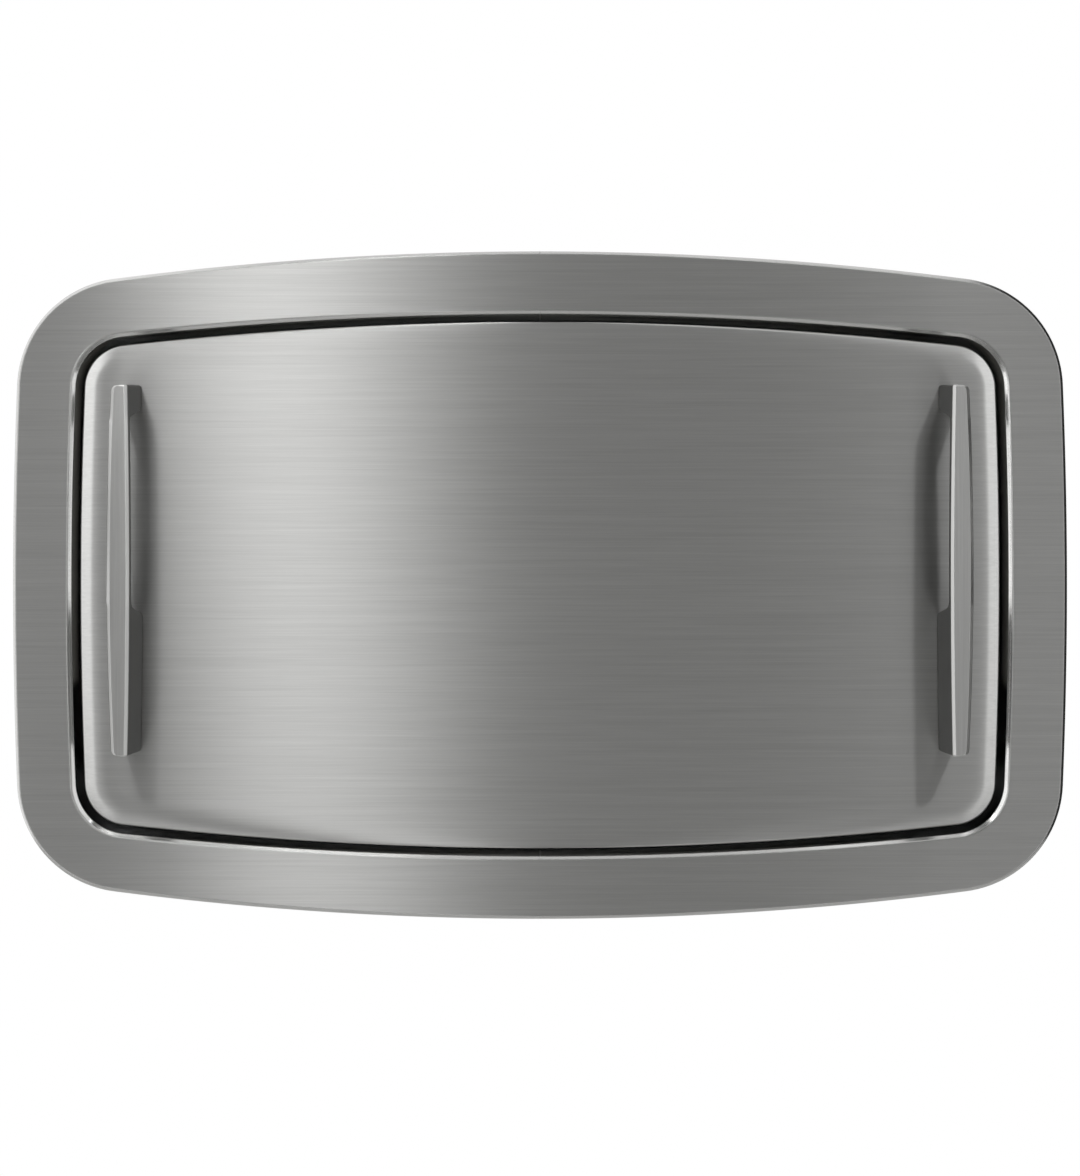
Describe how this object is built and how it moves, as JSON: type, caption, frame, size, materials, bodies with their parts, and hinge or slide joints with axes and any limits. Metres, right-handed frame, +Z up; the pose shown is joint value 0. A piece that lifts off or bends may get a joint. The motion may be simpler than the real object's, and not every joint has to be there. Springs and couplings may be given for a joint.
{
  "type": "baby changing station",
  "caption": "Recess-mounted fold-down baby changing station: bowed brushed-steel flange and door with tall pull handles, a moulded bed with strap, dampers, liner bin and bag hooks.",
  "frame": {"origin": "middle of the wall opening, on the face of the wall that the flange lies against", "axes": "+X to the right along the width, +Y into the wall, +Z up"},
  "size_m": [1.08, 0.1571, 0.684],
  "materials": {
    "brushed_steel": "satin, fine brushing along the width",
    "handle_steel": "satin",
    "zinc_steel": "zinc plated, dull",
    "plated_steel": "bright plated",
    "grey_plastic": "moulded, fine grain",
    "dark_plastic": "moulded, satin",
    "black_rubber": "dull",
    "black_paint": "satin black",
    "webbing": "woven"
  },
  "bodies": {
    "station": {"wall_flange": "brushed_steel", "wall_box": "zinc_steel", "back_panel": "grey_plastic", "hinge_bracket_left": "zinc_steel", "hinge_bracket_right": "zinc_steel", "hinge_bush_left": "dark_plastic", "hinge_bush_right": "dark_plastic", "stop_pin_left": "plated_steel", "stop_pin_right": "plated_steel", "stop_sleeve_left": "black_rubber", "stop_sleeve_right": "black_rubber", "strut_anchor_left": "plated_steel", "strut_anchor_right": "plated_steel", "liner_bin": "grey_plastic", "lid_pin": "plated_steel", "bag_hook_left": "plated_steel", "bag_hook_right": "plated_steel"},
    "bed": {"door_skin": "brushed_steel", "bed_frame": "zinc_steel", "lower_rail": "zinc_steel", "hinge_arm_left": "zinc_steel", "hinge_arm_right": "zinc_steel", "hinge_pin_left": "plated_steel", "hinge_pin_right": "plated_steel", "strut_stud_left": "plated_steel", "strut_stud_right": "plated_steel", "handle_left": "handle_steel", "handle_right": "handle_steel", "bed_tray": "grey_plastic", "strap_upper": "webbing", "strap_lower": "webbing", "strap_anchor_upper": "plated_steel", "strap_anchor_lower": "plated_steel", "buckle_frame": "dark_plastic", "buckle_pin": "plated_steel"},
    "left_damper_body": {"damper_cylinder_left": "black_paint", "damper_gland_left": "dark_plastic"},
    "right_damper_body": {"damper_cylinder_right": "black_paint", "damper_gland_right": "dark_plastic"},
    "left_damper_rod": {"damper_rod_left": "plated_steel"},
    "right_damper_rod": {"damper_rod_right": "plated_steel"},
    "bin_lid": {"dispenser_lid": "grey_plastic"},
    "buckle_cam": {"buckle_lever": "dark_plastic"}
  },
  "joints": [
    {"name": "bed_fold", "type": "hinge", "parent": "station", "child": "bed", "pos_m": [0, 0.016, -0.21027], "axis": [1, 0, 0], "range_deg": [0, 90]},
    {"name": "left_damper_swing", "type": "hinge", "parent": "station", "child": "left_damper_body", "pos_m": [-0.447, 0.09265, -0.19116], "axis": [1, 0, 0], "range_deg": [0, 45]},
    {"name": "right_damper_swing", "type": "hinge", "parent": "station", "child": "right_damper_body", "pos_m": [0.447, 0.09265, -0.19116], "axis": [1, 0, 0], "range_deg": [0, 45]},
    {"name": "left_rod_swing", "type": "hinge", "parent": "bed", "child": "left_damper_rod", "pos_m": [-0.447, 0.016, -0.13127], "axis": [1, 0, 0], "range_deg": [-45, 0]},
    {"name": "right_rod_swing", "type": "hinge", "parent": "bed", "child": "right_damper_rod", "pos_m": [0.447, 0.016, -0.13127], "axis": [1, 0, 0], "range_deg": [-45, 0]},
    {"name": "lid_lift", "type": "hinge", "parent": "station", "child": "bin_lid", "pos_m": [0, 0.09035, 0.1845], "axis": [-1, 0, 0], "range_deg": [0, 95]},
    {"name": "lever_lift", "type": "hinge", "parent": "bed", "child": "buckle_cam", "pos_m": [0, 0.0189, 0.01485], "axis": [1, 0, 0], "range_deg": [0, 75], "stiffness_Nm_per_rad": 0.05}
  ],
  "couplings": [
    {"joint": "left_damper_swing", "follows": "bed_fold", "ratio": 0.5},
    {"joint": "right_damper_swing", "follows": "bed_fold", "ratio": 0.5},
    {"joint": "left_rod_swing", "follows": "bed_fold", "ratio": -0.5},
    {"joint": "right_rod_swing", "follows": "bed_fold", "ratio": -0.5}
  ]
}
